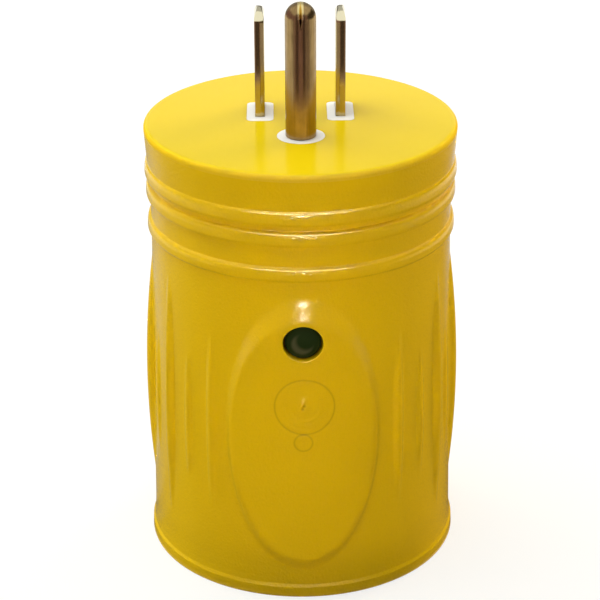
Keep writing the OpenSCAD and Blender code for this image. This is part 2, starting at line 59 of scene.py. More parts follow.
# %% Camera
camera_place = Vector((-0.206, -309.33, 183.3)) * MM
camera_tilt = math.radians(24.728)
camera_roll = math.radians(-0.287)
camera_turn = math.radians(-0.5)
forward = Vector((0, math.cos(camera_tilt), -math.sin(camera_tilt)))
level_up = Vector((0, math.sin(camera_tilt), math.cos(camera_tilt)))
level_right = Vector((1, 0, 0))
right = math.cos(camera_roll) * level_right + math.sin(camera_roll) * level_up
up = math.cos(camera_roll) * level_up - math.sin(camera_roll) * level_right
basis = Matrix((right, up, -forward)).transposed().to_4x4()
lens = bpy.data.cameras.new("photo_camera")
lens.lens = 125.0
lens.sensor_width = 36.0
lens.clip_start = 0.01
camera = bpy.data.objects.new("photo_camera", lens)
camera.matrix_world = Matrix.Rotation(camera_turn, 4, "Z") @ Matrix.Translation(camera_place) @ basis
bpy.context.scene.collection.objects.link(camera)
bpy.context.scene.camera = camera
bpy.context.scene.view_settings.view_transform = "Standard"
print("camera stands", round(camera_place.length / MM), "mm from the middle of the base")

# %% [markdown]
# ## Shader maths in plain Python
#
# A finish is a network of nodes. Writing each node and link by hand hides the idea behind the plumbing, so
# this small class wraps one output socket. Python's operators on it add Math nodes, and `node` adds any
# other kind: its settings are set first, then its sockets get values or links.


# %% A socket that does maths
class Wire:
    """One output socket of a shader node."""

    def __init__(self, socket):
        self.socket = socket

    def node(self, kind, settings=None, inputs=None, out=0):
        """Adds a node of any kind to the same network; the result is the wire of one of its outputs."""
        tree = self.socket.id_data
        made = tree.nodes.new("ShaderNode" + kind)
        for name, value in (settings or {}).items():
            setattr(made, name, value)
        for name, value in (inputs or {}).items():
            if isinstance(value, Wire):
                tree.links.new(value.socket, made.inputs[name])
            else:
                made.inputs[name].default_value = value
        return Wire(made.outputs[out])

    def maths(self, operation, first, second):
        return self.node("Math", {"operation": operation}, {0: first, 1: second})

    def __add__(self, other):
        return self.maths("ADD", self, other)

    def __radd__(self, other):
        return self.maths("ADD", other, self)

    def __sub__(self, other):
        return self.maths("SUBTRACT", self, other)

    def __rsub__(self, other):
        return self.maths("SUBTRACT", other, self)

    def __mul__(self, other):
        return self.maths("MULTIPLY", self, other)

    def __rmul__(self, other):
        return self.maths("MULTIPLY", other, self)

    def __abs__(self):
        return self.node("Math", {"operation": "ABSOLUTE"}, {0: self})

    def feed(self, node, name):
        """Links this wire to a socket of a shader."""
        self.socket.id_data.links.new(self.socket, node.inputs[name])


print("a wire can be added, subtracted, multiplied and fed to a shader")

# %% [markdown]
# Most finishes need the same few nodes: two colours mixed, clouds of noise, a ramp between two values, and a
# bump. Each gets a helper here. Their sizes are in millimetres, because a grain is easier to judge on a ruler
# than as the scale of a Noise Texture. All of them start from object coordinates, which need no unwrapping.


# %% Helpers for finishes
def rgb(red, green, blue):
    return (red, green, blue, 1.0)


def mix_colours(factor, first, second):
    """A colour between two others; factor is a wire."""
    return factor.node("Mix", {"data_type": "RGBA"}, {0: factor, 6: first, 7: second}, out=2)


def noise(place, size_mm, detail=2.0, roughness=0.5):
    """Cloudy values from 0 to 1, with clouds about size_mm across."""
    inputs = {"Vector": place, "Scale": 1 / (size_mm * MM), "Detail": detail, "Roughness": roughness}
    return place.node("TexNoise", {"noise_dimensions": "3D"}, inputs)


def stretched(place, x, y, z):
    """The same places with each axis scaled, so that clouds become streaks."""
    return place.node("Mapping", {"vector_type": "POINT"}, {"Vector": place, "Scale": (x, y, z)})


def along(place, axis):
    """One coordinate of the places: axis 0 is x, 1 is y and 2 is z."""
    return place.node("SeparateXYZ", None, {"Vector": place}, out=axis)


def distance_to(place, x, y, z):
    """How far the places are from a point, which is given in millimetres."""
    return place.node("VectorMath", {"operation": "DISTANCE"}, {0: place, 1: (x * MM, y * MM, z * MM)}, out=1)


def ramp(value, start, end, first=0.0, last=1.0):
    """Goes from first to last while a wire goes from start to end, and stays level beyond."""
    inputs = {"Value": value, "From Min": start, "From Max": end, "To Min": first, "To Max": last}
    return value.node("MapRange", None, inputs)


def bump(height, depth_mm, strength=1.0):
    """A normal that shades as if the surface rose and fell by depth_mm."""
    return height.node("Bump", None, {"Height": height, "Strength": strength, "Distance": depth_mm * MM})


finishes = {}


def new_finish(name):
    """A new material: its main shader and the wire of object places."""
    material = bpy.data.materials.new(name)
    material.use_nodes = True
    tree = material.node_tree
    shader = tree.nodes["Principled BSDF"]
    places = tree.nodes.new("ShaderNodeTexCoord")
    finishes[name] = material
    return shader, Wire(places.outputs["Object"])


print("shader tools ready")

# %% [markdown]
# ## Studio
#
# The photograph has a pure white ground. A white floor would be the short way, but it throws so much light
# back up that the colours go pale. So the floor is a plain grey that takes the shadow. A glow, which only the
# camera, mirrors and glass see, lifts it and the world to white.

# %% Floor and world
FLOOR_GREY, FLOOR_GLOW, FLOOR_REACH = 0.3, 0.7, 2500
SKY_LEVEL = 0.12


def stage_plane(name, corners, colour):
    """A flat piece of the studio through corners in millimetres, with a matt paint."""
    mesh = bpy.data.meshes.new(name)
    mesh.from_pydata([Vector(corner) * MM for corner in corners], [], [tuple(range(len(corners)))])
    plane = bpy.data.objects.new(name, mesh)
    bpy.context.scene.collection.objects.link(plane)
    paint = bpy.data.materials.new(name + "_paint")
    paint.use_nodes = True
    coat = paint.node_tree.nodes["Principled BSDF"]
    coat.inputs["Base Color"].default_value = rgb(*colour)
    coat.inputs["Roughness"].default_value = 1.0
    coat.inputs["Specular IOR Level"].default_value = 0.0
    mesh.materials.append(paint)
    return plane, coat


def seen_rays(tree):
    """1 for rays from the camera, from mirrors and through glass, and 0 for light that bounces."""
    paths = tree.nodes.new("ShaderNodeLightPath")
    camera_ray, glossy, passing = (
        Wire(paths.outputs[name]) for name in ("Is Camera Ray", "Is Glossy Ray", "Is Transmission Ray")
    )
    return camera_ray + glossy + passing


floor_corners = [(x * FLOOR_REACH, y * FLOOR_REACH, 0) for x, y in ((-1, -1), (1, -1), (1, 1), (-1, 1))]
_, floor_coat = stage_plane("floor", floor_corners, [FLOOR_GREY] * 3)
floor_coat.inputs["Emission Color"].default_value = rgb(1, 1, 1)
(seen_rays(floor_coat.id_data) * FLOOR_GLOW).feed(floor_coat, "Emission Strength")

world = bpy.data.worlds.new("studio")
world.use_nodes = True
bpy.context.scene.world = world
sky = world.node_tree.nodes["Background"]
sky.inputs["Color"].default_value = rgb(1, 1, 1)
(seen_rays(world.node_tree) * (1 - SKY_LEVEL) + SKY_LEVEL).feed(sky, "Strength")
print("floor and world are ready")

# %% [markdown]
# Polished metal and gloss show what stands round them, so photographers put up dark cards, called flags, for
# them to reflect. Lamps placed by trial could do it too, but they would light the vinyl as well. These flags
# are planes with a flat glow that only reflections see. Cards close to the prongs darken the brass, slices of
# a disc on the floor darken what the wall reflects, and strips far behind draw the bands in the polished top.
# The low board works the other way: only diffuse light sees it, and it keeps the floor's light off the foot.


# %% Flags
def upright(start, end, low, high):
    """Corners of an upright card between two points of the ground, from one height to another."""
    return [(*start, low), (*end, low), (*end, high), (*start, high)]


def sector(start, end, reach, z=0.5):
    """Corners of a slice of a disc round the foot; angles run from the lens to the right, in degrees."""
    turns = np.radians(np.linspace(start, end, 9))
    return [(0, 0, z)] + [(reach * math.sin(turn), -reach * math.cos(turn), z) for turn in turns]


DARK, BLACK = (0.08, 0.07, 0.05), (0.085, 0.06, 0.055)
BROWN, PALE = (0.4, 0.27, 0.33), (0.45, 0.38, 0.4)
WALL_TOP, CARD_TOP = 560, 106
FRONT_LEFT, FRONT_RIGHT, BACK_LEFT, BACK_RIGHT = (-800, -640), (800, -640), (-800, 800), (800, 800)
FAR_LEFT, FAR_RIGHT = (-800, 798), (800, 798)
flags = {
    "flag_low": ([(-620, -640, 1), (380, -640, 1), (110, -150, 1), (-150, -150, 1)], BROWN),
    "flag_low_left": ([(-900, -500, 1), (-620, -640, 1), (-150, -150, 1), (-250, -130, 1)], PALE),
    "flag_low_right": ([(380, -640, 1), (700, -300, 1), (200, -60, 1), (110, -150, 1)], PALE),
    "flag_pin": (upright((-14, -24.5), (9, -24.5), 72.3, CARD_TOP), BROWN),
    "flag_hot": (upright((-10.5, -24.3), (-4.4, -24.3), 73.6, CARD_TOP), BLACK),
    "flag_neutral": (upright((4.4, -24.3), (10.5, -24.3), 73.6, CARD_TOP), BLACK),
    "flag_front": (upright(FRONT_LEFT, FRONT_RIGHT, 0, WALL_TOP), BROWN),
    "flag_left": (upright(FRONT_LEFT, BACK_LEFT, 0, WALL_TOP), BROWN),
    "flag_right": (upright(FRONT_RIGHT, BACK_RIGHT, 0, WALL_TOP), DARK),
    "flag_back": (upright(FAR_LEFT, FAR_RIGHT, 0, 200), DARK),
}
foot_slices = [
    (-180, -145, 0.35), (-145, -120, 0.5), (-120, -100, 0.26), (-100, -85, 0.14),
    (-85, 135, 0.07), (135, 150, 0.3), (150, 180, 0.75),
]
for start, end, level in foot_slices:
    flags[f"flag_foot_{start}"] = (sector(start, end, 200), [level] * 3)
flags["flag_foot_near"] = (sector(-180, -145, 115, 0.6), [0.85] * 3)
back_strips = [(359, 366, 0.75), (366, 374, 0.45), (374, 382, 0.2), (382, 480, 0.04), (480, 1500, 0.5)]
for low, high, level in back_strips:
    flags[f"flag_back_{low}"] = (upright(FAR_LEFT, FAR_RIGHT, low, high), [level] * 3)
for name, (corners, colour) in flags.items():
    flag, flag_coat = stage_plane(name, corners, (0, 0, 0))
    flag_coat.inputs["Emission Color"].default_value = rgb(*colour)
    flag_coat.inputs["Emission Strength"].default_value = 1.0
    flag.visible_camera = False
    flag.visible_diffuse = False
    flag.visible_shadow = False
low_board, _ = stage_plane("low_board", upright((-300, -150), (300, -150), 0, 27), (0, 0, 0))
low_board.visible_camera = False
low_board.visible_glossy = False
print("set up", len(flags), "flags and a low board")

# %% [markdown]
# The light is a catalogue's: a large soft lamp overhead on the left, two warm lamps behind that reach round
# the sides, and a weak one near the lens that fills the front. Reflections don't see these, because the flags
# take care of reflections. Two sparkle lamps work the other way: only reflections see them, and further down
# they are linked to the grip alone, so that its rings and panel glint while the metal stays dark.


# %% Lamps
def area_lamp(name, place, aim, width, height, power, colour, spread=180, mirrored=False):
    """A rectangular lamp, seen only by diffuse light or, if mirrored, only by reflections; in millimetres."""
    lamp = bpy.data.lights.new(name, "AREA")
    lamp.shape = "RECTANGLE"
    lamp.size = width * MM
    lamp.size_y = height * MM
    lamp.energy = power
    lamp.color = colour
    lamp.spread = math.radians(spread)
    holder = bpy.data.objects.new(name, lamp)
    holder.location = Vector(place) * MM
    holder.rotation_euler = (Vector(aim) - Vector(place)).to_track_quat("-Z", "Y").to_euler()
    holder.visible_glossy = mirrored
    holder.visible_diffuse = not mirrored
    bpy.context.scene.collection.objects.link(holder)
    return holder


SPARKLE_TONE = (1, 0.9, 0.6)
area_lamp("overhead", (-160, 60, 760), (0, 0, 40), 800, 800, 6.4, (0.955, 1, 1))
area_lamp("front_low", (0, -470, 100), (0, 0, 50), 110, 60, 0.0365, (1, 0.835, 0.4), spread=32)
area_lamp("left_back", (-600, 350, 190), (0, 0, 40), 400, 300, 3.35, (1, 0.957, 0.6))
area_lamp("right_back", (540, 440, 190), (0, 0, 40), 400, 300, 5.3, (1, 0.828, 0.5))
sparkles = [
    area_lamp("sparkle", (0, -470, 92), (0, 0, 50), 46, 18, 0.03, SPARKLE_TONE, spread=32, mirrored=True),
    area_lamp("strip", (0, -500, 420), (0, 0, 63), 760, 80, 13, SPARKLE_TONE, mirrored=True),
]
print("lamps:", len(bpy.data.lights), "of which", len(sparkles), "only show in reflections")

# %% [markdown]
# ## Finishes
#
# Each finish has the detail its real material shows. On the front of the yellow vinyl, under the lamp, the
# mould left a ring, a pip and a torn stub, and painted shade darkens the colour in them. It could be painted
# by hand. Here the distance from a point gives it, so it stays in place however the mesh is cut.

# %% Painted shade in the marks of moulding
MARK_X, MARK_Z, MARK_R = 0.2, 34.2, 4.65
PIP_Z, PIP_R = 28.1, 1.42
FRONT_Y = -25.25


def on_ring(place, x, z, radius, half_width):
    """1 on a circle round a point of the front, fading to 0 at half_width beside it; in millimetres."""
    away = abs(distance_to(place, x, FRONT_Y, z) - radius * MM)
    return ramp(away, 0.0, half_width * MM, 1.0, 0.0)


def painted_shade(place):
    """Painted shade in the ring of the insert, round the pip and in two spots of the torn stub."""
    rings = on_ring(place, MARK_X, MARK_Z, MARK_R, 0.24) + on_ring(place, 0, PIP_Z, PIP_R, 0.24)
    spots = on_ring(place, -0.1, MARK_Z - 0.22, 0, 0.36) + on_ring(place, 0.12, MARK_Z + 0.25, 0, 0.36)
    return rings * 0.4 + spots * 0.8


print("soil lies round heights", MARK_Z, "and", PIP_Z, "mm")

# %% [markdown]
# The vinyl came out of a spark-eroded mould, so it has a fine grain that breaks a highlight into sparkles.
# The top was polished in the mould: a ramp on the height lets the grain fade out there, and another makes
# the edge just below it matt. The first ramp also gives the top a lighter, greener yellow, which is painted
# light for the stronger light that falls there. Fine specks of gloss, through the coat's weight, make the
# glints on the rings and the panel twinkle. The colour drifts a little, as pigment does. An image texture
# could hold all this, but noise in object space has no seams and stays sharp close up.

# %% Yellow vinyl of the grip
POLISH_FROM, POLISH_FULL = 71.95 * MM, 72.15 * MM
MATT_FROM, MATT_FULL = 71.0 * MM, 71.4 * MM
SPECKS_FULL, SPECKS_END = 69.0 * MM, 69.5 * MM
shader, place = new_finish("body_yellow")
height = along(place, 2)
grain_and_painted_top = ramp(height, POLISH_FROM, POLISH_FULL, 1.0, 0.1)
matt_edge = ramp(height, MATT_FROM, MATT_FULL, 0.0, 0.5) * grain_and_painted_top
speckled = ramp(height, SPECKS_FULL, SPECKS_END, 1.0, 0.0)
drift = noise(place, 14, detail=3)
grain = noise(place, 0.42)
haze = noise(place, 6)
fine = noise(place, 0.17, detail=0)
wall_tone = mix_colours(drift, rgb(0.80, 0.52, 0.002), rgb(0.84, 0.55, 0.003))
# The top's lighter, greener yellow is painted light, standing in for the stronger light on the top.
tone = mix_colours(grain_and_painted_top, rgb(0.83, 0.6, 0.004), wall_tone)
# The dark brown mixed in here is painted shade in the ring, round the pip and in the torn stub's slit.
mix_colours(painted_shade(place), tone, rgb(0.42, 0.24, 0.0)).feed(shader, "Base Color")
(haze * 0.05 + grain_and_painted_top * grain * 0.06 + matt_edge + 0.13).feed(shader, "Roughness")
bump(grain, 0.08, grain_and_painted_top * 0.75).feed(shader, "Normal")
(ramp(fine, 0.56, 0.64, 0.0, 0.85) * speckled).feed(shader, "Coat Weight")
shader.inputs["Coat Roughness"].default_value = 0.1
shader.inputs["Specular IOR Level"].default_value = 0.2
print("yellow vinyl:", len(finishes["body_yellow"].node_tree.nodes), "nodes")

# %% [markdown]
# The inner mouldings are white nylon, and their bosses show round the prongs. Nylon isn't as white as paper.
# A flat grey would do from afar, but close up the tone drifts between two warm whites and a fine grain
# makes the surface half matt.

# %% White nylon of the inner pieces
shader, place = new_finish("core_white")
drift = noise(place, 9)
grain = noise(place, 0.35)
mix_colours(drift, rgb(0.91, 0.89, 0.88), rgb(0.95, 0.93, 0.92)).feed(shader, "Base Color")
(grain * 0.15 + 0.34).feed(shader, "Roughness")
bump(grain, 0.02, 0.3).feed(shader, "Normal")
print("white nylon:", len(finishes["core_white"].node_tree.nodes), "nodes")

# %% [markdown]
# Metal pieces share one recipe with different numbers: streaks along the way the strip was drawn or rolled,
# a slow drift between a clean and a tarnished tone, and a roughness that follows both. The tips of the
# prongs are rubbed bright by sockets, and the highlight on their bevels and on the pin's V is painted there
# too: above a given height, and close to the middle plane, a paler tone takes over.

# %% Metals
WORN_AND_SHEEN_EDGE = 0.2


def metal(
    finish, clean, tarnished, streak_scale, roughness, streak_mm=0.25,
    worn_and_sheen_from=None, worn_and_sheen_half=9, worn_and_sheen=(0.82, 0.76, 0.52),
):
    """Brushed and tarnished metal; above a given height, and within a half width of the middle plane, rubbed
    bright with a painted highlight.
    """
    shader, place = new_finish(finish)
    streaks = noise(stretched(place, *streak_scale), streak_mm, detail=3)
    clouds = noise(place, 2.2, detail=4, roughness=0.6)
    wear = streaks * 0.5 + clouds * 0.5
    tone = mix_colours(wear, rgb(*clean), rgb(*tarnished))
    if worn_and_sheen_from:
        high = ramp(along(place, 2), worn_and_sheen_from * MM, (worn_and_sheen_from + WORN_AND_SHEEN_EDGE) * MM)
        central = ramp(abs(along(place, 0)), (worn_and_sheen_half - WORN_AND_SHEEN_EDGE) * MM, worn_and_sheen_half * MM, 1.0, 0.0)
        # The paler tone is rubbed wear and also a painted highlight on the tips.
        tone = mix_colours(high * central, tone, rgb(*worn_and_sheen))
    tone.feed(shader, "Base Color")
    shader.inputs["Metallic"].default_value = 1.0
    ((wear * 0.5 + 0.75) * roughness).feed(shader, "Roughness")
    bump(streaks, 0.006, 0.4).feed(shader, "Normal")


# The pale tone on the blades' tips and round the pin's V is wear and a painted highlight.
metal("prong_plated", (0.66, 0.53, 0.25), (0.31, 0.23, 0.08), (1, 1, 0.05), 0.14, worn_and_sheen_from=87.65)
metal(
    "prong_plated_pin", (0.54, 0.37, 0.16), (0.12, 0.07, 0.02), (1, 1, 0.05), 0.25,
    worn_and_sheen_from=91.2, worn_and_sheen_half=0.55, worn_and_sheen=(0.85, 0.7, 0.32),
)
metal("contact_brass", (0.74, 0.52, 0.22), (0.55, 0.35, 0.13), (1, 1, 0.08), 0.34)
metal("spring_steel", (0.60, 0.60, 0.61), (0.42, 0.42, 0.43), (0.1, 0.1, 1), 0.36)
metal("lead_tin", (0.66, 0.66, 0.64), (0.5, 0.5, 0.48), (0.3, 1, 1), 0.38)
metal("solder", (0.62, 0.62, 0.61), (0.44, 0.44, 0.44), (1, 1, 1), 0.4, streak_mm=0.4)
print("finishes so far:", len(finishes))

# %% [markdown]
# The small insulating pieces inside are all plastics, lacquers or laminate. They differ in colour, grain
# and gloss, so one function makes them from those numbers.


# %% Plastics inside
def plastic(finish, first, second, drift_mm, grain_mm, roughness, grain_depth=0.015):
    """Plastic whose colour drifts between two tones, with a grain that also breaks its gloss."""
    shader, place = new_finish(finish)
    mix_colours(noise(place, drift_mm, detail=3), rgb(*first), rgb(*second)).feed(shader, "Base Color")
    grain = noise(place, grain_mm)
    (grain * 0.16 + (roughness - 0.08)).feed(shader, "Roughness")
    bump(grain, grain_depth, 0.35).feed(shader, "Normal")


plastic("holder_black", (0.018, 0.018, 0.019), (0.03, 0.03, 0.03), 3, 0.3, 0.5)
plastic("diode_black", (0.02, 0.02, 0.021), (0.04, 0.04, 0.04), 1.5, 0.2, 0.45)
plastic("resistor_tan", (0.46, 0.32, 0.19), (0.38, 0.25, 0.14), 1.5, 0.25, 0.35)
plastic("wire_black", (0.015, 0.015, 0.016), (0.028, 0.028, 0.03), 4, 0.25, 0.4)
plastic("wire_white", (0.78, 0.77, 0.73), (0.7, 0.69, 0.65), 4, 0.25, 0.4)
plastic("board_green", (0.028, 0.15, 0.065), (0.045, 0.2, 0.09), 0.5, 0.18, 0.32, grain_depth=0.02)
print("finishes so far:", len(finishes))

# %% [markdown]
# ## The yellow grip
#
# The grip is the whole look of the object. It is one moulding: a cap with a rounded edge, three flared rings
# with a shadow line under each, a slightly tapered wall with two raised ovals and twenty spindle ribs, and a
# small flare at the foot. The solid in the frame has the same shape in plainer form, and this mesh stands for
# it. A lathe profile gives the round forms. A Bevel modifier could round its corners, but all by one width,
# so a path with a fillet of its own at each corner is worked out here.


# %% A path with rounded corners
def rounded_path(corners):
    """Points (r, z) along straight runs between corners (r, z, fillet), with each corner rounded."""
    points = [np.array(corners[0][:2], float)]
    for before, corner, after in zip(corners, corners[1:], corners[2:]):
        here = np.array(corner[:2], float)
        back = np.array(before[:2], float) - here
        ahead = np.array(after[:2], float) - here
        back_len, ahead_len = np.linalg.norm(back), np.linalg.norm(ahead)
        back, ahead = back / back_len, ahead / ahead_len
        half = math.acos(np.clip(back @ ahead, -1, 1)) / 2
        reach = min(corner[2] / math.tan(half), 0.49 * back_len, 0.49 * ahead_len)
        if reach < 1e-4 or half > math.radians(89.5):
            points.append(here)
            continue
        radius = reach * math.tan(half)
        middle = here + (back + ahead) / np.linalg.norm(back + ahead) * radius / math.sin(half)
        turn = math.pi - 2 * half
        steps = max(2, math.ceil(turn / math.radians(18)))
        start = here + back * reach - middle
        side = np.cross(start, here + ahead * reach - middle)
        for k in range(steps + 1):
            angle = math.copysign(turn * k / steps, side)
            cos, sin = math.cos(angle), math.sin(angle)
            points.append(middle + (start[0] * cos - start[1] * sin, start[0] * sin + start[1] * cos))
    points.append(np.array(corners[-1][:2], float))
    return points


print("a square corner with a fillet gets", len(rounded_path([(0, 0, 0), (1, 0, 0.2), (1, 1, 0)])), "points")

# %% [markdown]
# The profile follows the photograph: a foot with a small flare, the wall, three rings and the cap. Each ring
# has a round lip below and a round shoulder above, because it is the shoulder that carries the glint.

# %% Profile of the grip
BODY_H = 72.2
WAIST_R, WAIST_Z = 23.95, 54.5
SKIRT_R, SKIRT_Z = 24.85, 4.4
RIM_R, RIM_H, CAVITY_R, CEILING_Z = 19.2, 1.8, 20.6, 68.6


def wall_r(z):
    """Radius of the plain tapered wall at height z."""
    return WAIST_R + (SKIRT_R - WAIST_R) * (WAIST_Z - z) / (WAIST_Z - SKIRT_Z)


def ring(lip_r, low_z, top_r, top_z, under=0.12):
    """One ring from the bottom up: round lip, a face that leans in a little, and a round shoulder."""
    return [
        (top_r, low_z - 0.1, 0.1),
        (lip_r - under, low_z, 0.1),
        (lip_r, low_z + 0.4, 0.3),
        (lip_r - 0.03, top_z - 0.95, 0.9),
        (lip_r - 0.15, top_z - 0.26, 0.7),
        (top_r, top_z + 0.08, 0.1),
    ]


foot_corners = [(RIM_R, 0, 0), (25.42, 0, 0.2), (25.34, 1.75, 0.1), (25.06, 2.25, 0.12), (24.95, 3.3, 0.5)]
wall_corners = [(SKIRT_R, SKIRT_Z + 0.6, 2), (WAIST_R, 53.9, 0.2)]
low_ring = ring(24.52, 54.85, 23.93, 57.08, under=0.3)
middle_ring = ring(24.6, 60.65, 23.93, 62.96)
high_ring = ring(24.74, 64.05, 23.95, 66.25)[:-1]
cap_corners = [(24.33, 66.3, 0.12), (24.74, BODY_H, 0.7), (22.8, BODY_H, 0)]
outer_path = rounded_path(foot_corners + wall_corners + low_ring + middle_ring + high_ring + cap_corners)
print("profile points:", len(outer_path))

# %% [markdown]
# The relief is added point by point, so the straight runs need rows of points too. A Subdivision modifier
# would cut all of them alike. Here the rows stand closer together where the relief is fine.


# %% Rows of the grip
def spacing_z(z):
    """Wanted distance between rows: fine at the rings, the panel's ends and the marks under the lamp."""
    if z > 54:
        return 0.25
    if 26.2 < z < 39.2:
        return 0.24
    if z < 8.5 or 47 < z < 52.8:
        return 0.33
    return 0.48


def resampled(points):
    """The same path with its runs cut into rows, each close to the wanted spacing."""
    rows = [points[0]]
    for start, end in zip(points, points[1:]):
        run = np.linalg.norm(end - start)
        if run < 1e-3:
            continue
        walk, stops = 0.0, []
        while walk < run - 1e-6:
            walk += spacing_z(start[1] + (end[1] - start[1]) * walk / run)
            stops.append(walk)
        rows += [start + (end - start) * stop / stops[-1] for stop in stops]
    return np.array(rows)


outer_rows = resampled(outer_path)
print("profile rows:", len(outer_rows))

# %% [markdown]
# The relief is a height map on the unrolled wall: x runs round the wall in millimetres and z runs up. An oval
# panel lies between two ellipses, a foot and a face, with a soft S between them. A rib is a long low arch
# with a round back. Displacement in the material could make both, but only at render time: as geometry they
# are in the mesh itself. Three ribs on the right stand 2 degrees further round, as in the photograph.

# %% Panels and ribs
LAMP_Z, LAMP_HALF_W, LAMP_HALF_H = 44.9, 3.1, 2.9
PANEL_RISE, PANEL_CURL = 0.93, 0.35
FACE_HALF_W, FACE_Z, FACE_HALF_H = 11.4, 27.7, 20.8
FOOT_HALF_W, FOOT_Z, FOOT_HALF_H = 12.8, 28.4, 23.6
RIB_ROUND, RIB_SHIFT = 1.05, 2.0
ribs_of_a_quarter = [  # angle in degrees, middle, half length and rise in millimetres
    (36, 28.8, 15.8, 0.55),
    (48, 28.3, 11.3, 0.42),
    (60, 30.0, 21.0, 0.85),
    (72, 28.4, 11.2, 0.45),
    (84, 31.0, 19.5, 1.17),
]
ribs = [
    (math.radians(side * angle + (RIB_SHIFT if 30 < side * angle < 70 else 0)), middle, half, rise)
    for side in (-1, 1)
    for turn, middle, half, rise in ribs_of_a_quarter
    for angle in (turn, 180 - turn)
]


def panel_height(x, z):
    """Height of an oval panel above the wall."""
    face = np.hypot(x / FACE_HALF_W, (z - FACE_Z) / FACE_HALF_H)
    foot = np.hypot(x / FOOT_HALF_W, (z - FOOT_Z) / FOOT_HALF_H)
    inside = np.clip(1 - foot, 0, None)
    outside = np.clip(face - 1, 0, None)
    share = inside / np.maximum(inside + outside, 1e-9)
    share = share + PANEL_CURL * share * (1 - share) * (2 * share - 1)
    return PANEL_RISE * share


def rib_height(x, z, middle, half, rise):
    """Height of one rib's back above the wall; below zero beside it."""
    return rise * (1 - ((z - middle) / half) ** 2) - x**2 / (2 * RIB_ROUND)


print("ribs:", len(ribs))

# %% [markdown]
# Below the lamp are the marks of moulding: the ring round the mould's insert, faint rings where the vinyl
# flowed, the torn stub where it came in, with a slit, and a pip. Each is a bell curve or a ramp in
# millimetres, which is the easiest form to set beside a zoomed photograph.

# %% Marks of moulding
RING_DEPTH, RING_HALF_W = 0.08, 0.22
FLOW_RISE, FLOW_PITCH, FLOW_R, FLOW_HALF_W = 0.06, 0.8, 2.8, 1.2
STUB_RISE, STUB_HALF_W, STUB_HALF_H = 0.5, 0.6, 1.0
SLIT_DEPTH, SLIT_SLANT, SLIT_HALF_W, SLIT_HALF_H = 0.55, 0.4, 0.3, 0.6
PIP_RISE, PIP_LIP, PIP_EDGE = 0.08, 0.1, 0.5


def marks_height(x, z):
    """Insert ring, flow rings, torn stub and pip."""
    up = z - MARK_Z
    away = np.hypot(x - MARK_X, up)
    ring_line = -RING_DEPTH * np.exp(-(((away - MARK_R) / RING_HALF_W) ** 2))
    low_side = np.clip(0.6 - up / 8, 0.15, 1)
    waves = FLOW_RISE * np.cos(2 * np.pi * away / FLOW_PITCH)
    flow = waves * np.exp(-(((away - FLOW_R) / FLOW_HALF_W) ** 2)) * low_side
    stub = STUB_RISE * np.exp(-((x / STUB_HALF_W) ** 2) - (up / STUB_HALF_H) ** 2)
    across_slit = x - SLIT_SLANT * up
    slit = -SLIT_DEPTH * np.exp(-((across_slit / SLIT_HALF_W) ** 2) - (up / SLIT_HALF_H) ** 2)
    pip = np.clip((PIP_R + PIP_LIP - np.hypot(x, z - PIP_Z)) / PIP_EDGE, 0, 1)
    return ring_line * (1 - pip) + flow + stub + slit + PIP_RISE * pip


print("marks under the lamp reach from", PIP_Z - PIP_R, "to", MARK_Z + MARK_R, "mm")

# %% [markdown]
# All relief comes together in one function of the angle and the height. Where a rib meets the wall, a soft
# maximum leaves the small fillet that a mould has. An even grid that is fine enough for the marks would have
# millions of faces, so the columns, like the rows, stand closer together where there is something to show.

# %% Columns of the grip and its skin
RIB_FILLET = 0.025


def wrapped(angle):
    """The same angle between minus half a turn and half a turn."""
    return (angle + np.pi) % (2 * np.pi) - np.pi


def relief(az, z):
    """Height of all relief at azimuth az, measured from the lamp side, and height z."""
    r = wall_r(z)
    height = sum(panel_height(r * wrapped(az - turn), z) for turn in (0, math.pi))
    ridge = np.full(np.broadcast(az, z).shape, -9.0)
    for turn, middle, half, rise in ribs:
        ridge = np.maximum(ridge, rib_height(r * wrapped(az - turn), z, middle, half, rise))
    height = height + (ridge + np.sqrt(ridge**2 + RIB_FILLET**2)) / 2
    return height + marks_height(r * wrapped(az), z)


def spacing_az(degrees):
    """Wanted angle between columns: fine at the ribs, the marks and the panels' edges."""
    if abs(degrees) < 3:
        return 0.26
    if abs(degrees) < 12.6:
        return 0.44
    if any(abs(abs(degrees) - abs(math.degrees(rib[0]))) < 3.4 for rib in ribs):
        return 0.58
    if 22 < min(abs(degrees), 180 - abs(degrees)) < 31.5:
        return 0.72
    return 1.2


def on_wall(az, r, z):
    """Places for arrays of azimuth, radius and height; the lamp side faces -Y."""
    return np.stack(np.broadcast_arrays(r * np.sin(az), -r * np.cos(az), z), -1)


columns = [-180.0]
while columns[-1] < 180:
    columns.append(columns[-1] + spacing_az(columns[-1]))
columns = np.radians((np.array(columns[:-1]) + 180) * 360 / (columns[-1] + 180) - 180)
lathe_r, heights = outer_rows[:, 0][:, None], outer_rows[:, 1][:, None]
outer = on_wall(columns[None, :], lathe_r + relief(columns[None, :], heights), heights)
print("grip skin:", outer.shape[0], "rows of", outer.shape[1], "columns")

# %% [markdown]
# The mesh is collected loop by loop, and a band of quads joins one loop to the next. Flat faces with holes in
# them, such as the top, are filled at the end. Blender's own Screw modifier turns a profile too, but it knows
# nothing of relief.


